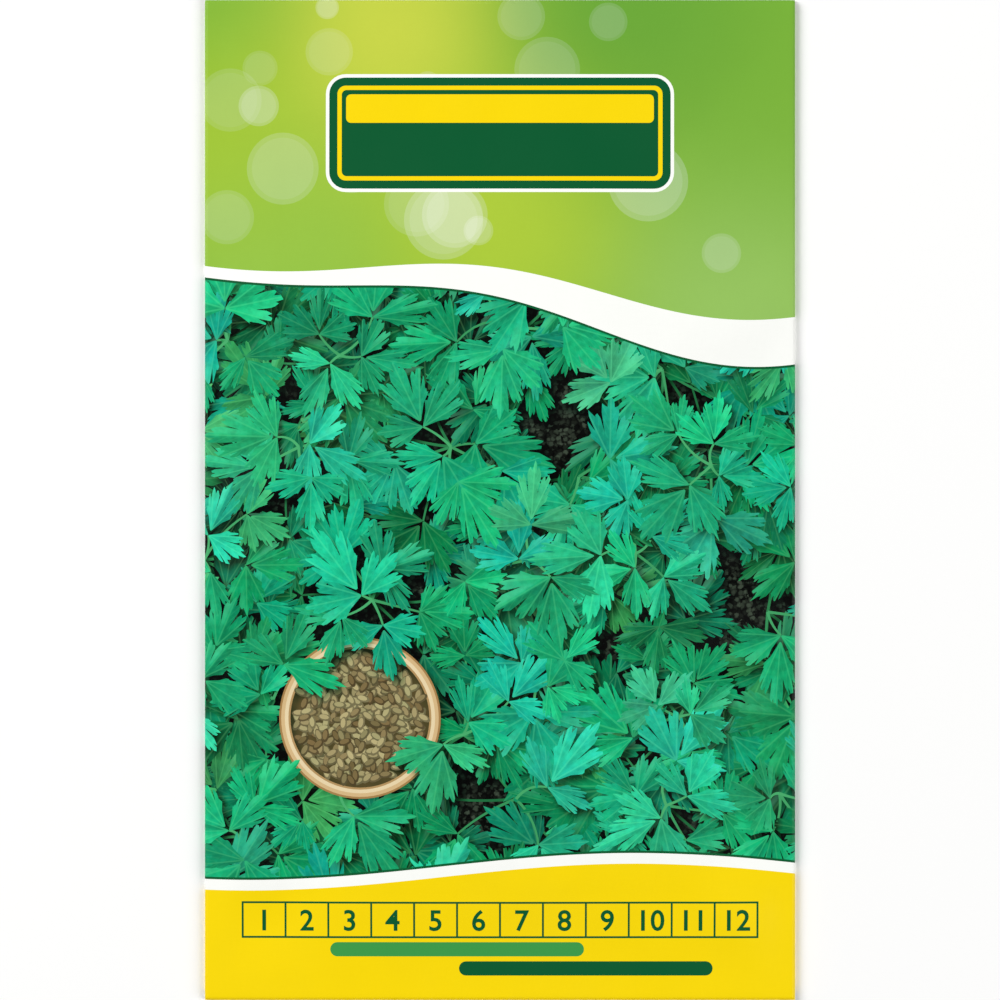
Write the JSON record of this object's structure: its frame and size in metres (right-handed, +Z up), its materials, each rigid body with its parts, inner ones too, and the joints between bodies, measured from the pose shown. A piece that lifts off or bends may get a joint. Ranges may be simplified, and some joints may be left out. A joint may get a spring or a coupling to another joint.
{
  "type": "seed packet",
  "caption": "Filled flat paper seed packet lying on its back: one folded printed sheet closed by a side lap and two end flaps, with loose seeds inside.",
  "frame": {"origin": "on the surface that the packet lies on, below the middle of its outline", "axes": "+Z up, out of the printed front; +Y towards the packet's top edge; +X to the right as seen from the printed front"},
  "size_m": [0.095, 0.161, 0.0045],
  "materials": {
    "printed_paper": "satin coated print",
    "glue": "dried film",
    "seeds": "dry, ribbed"
  },
  "bodies": {
    "root": {"paper_sheet": "printed_paper", "side_seam_glue": "glue", "bottom_flap_glue": "glue", "top_flap_glue": "glue", "seed_fill": "seeds"}
  },
  "joints": []
}
